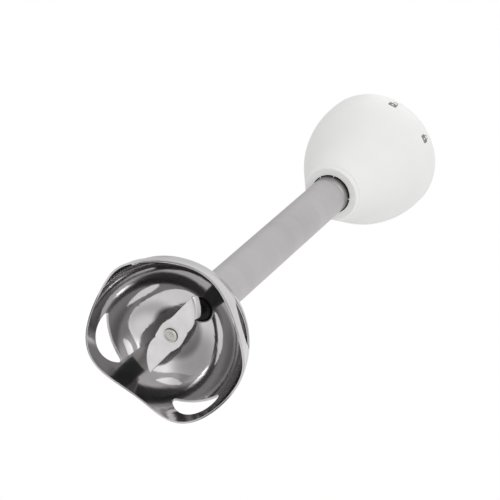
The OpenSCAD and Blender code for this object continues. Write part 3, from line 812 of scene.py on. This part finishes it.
def build_blade():
    """The S-shaped blade, with softened edges and the end of one wing bent up."""
    points, triangles = blade_plan()
    rim = free_edges(triangles)
    away = outward(points, rim)
    vertices, faces, index = [], [], {}

    def place(i, level, point, height):
        x, y, z = lip_bent(point.x, point.y, height)
        index[i, level] = len(vertices)
        vertices.append((*turned([(x, y)], BLADE_TURN)[0], BLADE_Z + z))

    for i in sorted({i for triangle in triangles for i in triangle}):
        pulled = points[i] - away[i] * BLADE_EDGE if i in away else points[i]
        place(i, "low", pulled, 0)
        place(i, "high", pulled, BLADE_T)
        if i in away:
            place(i, "low_side", points[i], BLADE_EDGE)
            place(i, "high_side", points[i], BLADE_T - BLADE_EDGE)
    for a, b, c in triangles:
        faces.append((index[a, "low"], index[c, "low"], index[b, "low"]))
        faces.append((index[a, "high"], index[b, "high"], index[c, "high"]))
    levels = ("low", "low_side", "high_side", "high")
    for a, b in rim:
        for lower, higher in zip(levels, levels[1:]):
            faces.append((index[a, lower], index[b, lower], index[b, higher], index[a, higher]))
    blade = add_mesh("blade_plate", vertices, faces, "blade_steel", "drive")
    sharpen(blade, BLADE_CRISP)
    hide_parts("blade")


# ---- Rivet ----

SMALL_STEPS = 96  # round a small turned piece
SHANK_R = 1.2
BORE_R = 0.02  # a hair-wide bore, so that the lathe's line stays off the axis
UNDER_HEAD = BLADE_Z - 0.02
RIVET_CRISP = 40  # degrees
# (radius, height over the head's lowest point): its dimple and the ring struck in its face.
HEAD_FACE = [(BORE_R, 0.24), (0.4, 0.22), (0.55, 0.06), (1.35, 0.03), (1.6, 0.14), (1.85, 0.02)]
# The same from the head's own radius: its rounded side.
HEAD_SIDE = [(-0.22, 0), (0, 0.2), (-0.05, 0.35), (-0.35, 0.45)]
# (radius from the head's, height over the blade's underside): a dark ring round the head, painted
# shade of the gap under it.
HEAD_SHADE_RING = [(-0.3, -0.05), (0.12, -0.05), (0.25, 0.02), (-0.3, 0.02)]


def build_rivet():
    """The rivet's domed head, its shank in the shaft, and a dark ring round the head that paints the
    shade under it.
    """
    low, high = (corner.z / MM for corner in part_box("blade_rivet"))
    head_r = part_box("blade_rivet")[1].x / MM
    line = [(r, low + z) for r, z in HEAD_FACE] + [(head_r + r, low + z) for r, z in HEAD_SIDE]
    line += [(line[-1][0], UNDER_HEAD), (SHANK_R, UNDER_HEAD), (SHANK_R, high), (BORE_R, high)]
    rivet = lathe("rivet_head", line, "rivet_steel", "drive", SMALL_STEPS)
    sharpen(rivet, RIVET_CRISP)
    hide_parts("blade_rivet")
    # A dark ring of painted shade, seen as a crescent beside the head.
    head_shade = [(head_r + r, BLADE_Z + z) for r, z in HEAD_SHADE_RING]
    lathe("rivet_head_shade", head_shade, "spring_steel", "drive", SMALL_STEPS)


# ---- Seal, tube and collar trims ----

SEAL_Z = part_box("shaft_seal")[0].z / MM
# (radius, height from the seal's face): two soft ridges round the shaft.
SEAL_LIPS = [(3.2, 0.05), (3.3, -0.2), (3.5, -0.22), (3.62, -0.04),
             (3.78, -0.03), (3.92, -0.16), (4.12, -0.16), (4.25, 0.05)]
WASHER_Z = SEAL_Z - 0.42
WASHER = [(2.42, 0), (2.5, -0.14), (2.95, -0.14), (3.08, -0.03), (3.08, 0.1), (2.42, 0.1)]

COLLAR_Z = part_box("coupling_housing")[0].z / MM
TUBE_R = 8.5
TUBE_STEPS = 128
BAND_BELOW = 4.9
BAND_ABOVE = 0.4
BAND_PROUD = 0.03
BAND_T = 0.1

KEY_AZIMUTHS = (-108.9, -65, 23.5)
KEY_HALF_W = 0.28
KEY_RADII = (TUBE_R + 0.02, TUBE_R + 0.7)
KEY_HEIGHTS = (COLLAR_Z + 0.05, COLLAR_Z + 1.2)
KEY_BEVEL = 0.08


def build_seal_lips():
    """The seal's ridges, and the black washer on the shaft's shoulder inside them."""
    lips = [(r, SEAL_Z + z) for r, z in SEAL_LIPS]
    lathe("seal_lips", lips, "black_rubber", "foot", SMALL_STEPS)
    washer = [(r, WASHER_Z + z) for r, z in WASHER]
    lathe("shoulder_washer", washer, "black_rubber", "drive", SMALL_STEPS)


def build_tube_band():
    """A darker band on the tube just below the collar: painted shade of the collar."""
    low, high = COLLAR_Z - BAND_BELOW, COLLAR_Z + BAND_ABOVE
    inside, outside = TUBE_R - BAND_T, TUBE_R + BAND_PROUD
    line = [(inside, low), (outside, low), (outside, high), (inside, high)]
    # The band's dark finish is painted shade from the collar.
    refinish(lathe("tube_band", line, "satin_steel", "foot", TUBE_STEPS), painted_collar_shade())


def build_gasket_keys():
    """Small keys of the coupling that cross the gasket."""
    corners = [(r, across, z) for z in KEY_HEIGHTS for r in KEY_RADII
               for across in (-KEY_HALF_W, KEY_HALF_W)]
    faces = [(0, 1, 3, 2), (4, 6, 7, 5), (0, 2, 6, 4), (1, 5, 7, 3), (0, 4, 5, 1), (2, 3, 7, 6)]
    for i, azimuth in enumerate(KEY_AZIMUTHS, start=1):
        places = turned([(r, across) for r, across, _ in corners], radians(azimuth))
        vertices = [(*place, z) for place, (_, _, z) in zip(places, corners)]
        key = add_mesh("gasket_key_%d" % i, vertices, faces, "white_plastic", "foot")
        bevel = key.modifiers.new("bevel", "BEVEL")
        bevel.width, bevel.segments = KEY_BEVEL * MM, 2


# ---- Lock marks on the coupling ----

RIM_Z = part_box("coupling_housing")[1].z / MM
COUPLING_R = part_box("coupling_housing")[1].x / MM
COUPLING_ARC_R = 64
COUPLING_LIP = 3.6

MARK_STEPS = 32
MARK_HALF_W = 1.95
MARK_HALF_H = 1.5
MARK_CORNER = 0.95  # share of the body's half diagonal that its cut corners leave
MARK_PROUD = 0.03
MARK_DEPTH = 0.1
KEYHOLE_R = 0.5
SHACKLE_OUT_R = 1.2
SHACKLE_IN_R = 0.8
SHACKLE_RISE = 0.5
SHACKLE_SUNK = 0.05
SHACKLE_STEPS = 12


def on_coupling(azimuth, across, up, proud):
    """A point on the coupling's outside, from a place given in degrees and millimetres."""
    below_lip = min(0, up - (RIM_Z - COUPLING_LIP))
    radius = COUPLING_R - COUPLING_ARC_R + sqrt(COUPLING_ARC_R ** 2 - below_lip ** 2)
    turn = radians(azimuth) + across / radius
    return (radius + proud) * cos(turn), (radius + proud) * sin(turn), up


class Print:
    """Thin print on the coupling's outside, drawn in bands round a middle."""

    def __init__(self, azimuth, height):
        self.azimuth, self.height = azimuth, height
        self.vertices, self.faces = [], []

    def place(self, line, proud):
        """Adds a line of (across, up) points, and returns the number of its first."""
        start = len(self.vertices)
        for x, y in line:
            self.vertices.append(on_coupling(self.azimuth, x, self.height + y, proud))
        return start

    def band(self, outer, inner, closed):
        """A band between two lines of the same number of points."""
        a, b = self.place(outer, MARK_PROUD), self.place(inner, MARK_PROUD)
        c, d = self.place(outer, -MARK_DEPTH), self.place(inner, -MARK_DEPTH)
        count = len(outer)
        for i in range(count if closed else count - 1):
            k = (i + 1) % count
            self.faces.extend([(a + i, a + k, b + k, b + i), (c + k, c + i, d + i, d + k),
                               (a + k, a + i, c + i, c + k), (b + i, b + k, d + k, d + i)])
        if not closed:
            last = count - 1
            self.faces.extend([(a, b, d, c), (a + last, c + last, d + last, b + last)])


def box_reach(t):
    """How far the lock's body reaches in a direction, with its corners cut off."""
    return min(MARK_HALF_W / max(abs(cos(t)), 1e-6), MARK_HALF_H / max(abs(sin(t)), 1e-6),
               MARK_CORNER * hypot(MARK_HALF_W, MARK_HALF_H))


def shackle(radius, shift):
    """One line of the shackle. A shift moves it aside and lifts its free end."""
    foot = MARK_HALF_H - SHACKLE_SUNK
    rise = MARK_HALF_H + SHACKLE_RISE
    bow = [pi * i / SHACKLE_STEPS for i in range(SHACKLE_STEPS + 1)]
    arch = [(radius * cos(t), rise + radius * sin(t)) for t in bow]
    line = [(radius, foot)] + arch + [(-radius, foot + shift)]
    return [(x + shift, y) for x, y in line]


def build_mark(name, azimuth, height, shift):
    """A padlock: a body with a keyhole, and a shackle towards the rim."""
    drawn = Print(azimuth, height)
    turns = [2 * pi * i / MARK_STEPS for i in range(MARK_STEPS)]
    body = [(box_reach(t) * cos(t), box_reach(t) * sin(t)) for t in turns]
    keyhole = [(KEYHOLE_R * cos(t), KEYHOLE_R * sin(t)) for t in turns]
    drawn.band(body, keyhole, closed=True)
    drawn.band(shackle(SHACKLE_OUT_R, shift), shackle(SHACKLE_IN_R, shift), closed=False)
    refinish(add_mesh(name, drawn.vertices, drawn.faces, "grey_plastic", "foot"), PRINTED_GREY)


# ---- Scene ----

add_camera()
add_world()
add_floor()
add_lamp("key", from_view(right=0.30, up=0.05, forward=-0.85), size=0.6, power=1.8)
add_lamp("top", Vector((0.1, -0.3, 0.95)), size=0.7, power=1.4)
finish_cad_nodes()
build_bell()
build_blade()
build_rivet()
build_seal_lips()
build_tube_band()
build_gasket_keys()
build_mark("mark_open", azimuth=-53.7, height=218.4, shift=0.55)
build_mark("mark_closed", azimuth=-11.4, height=217.7, shift=0)

bpy.context.scene.view_settings.view_transform = "Standard"
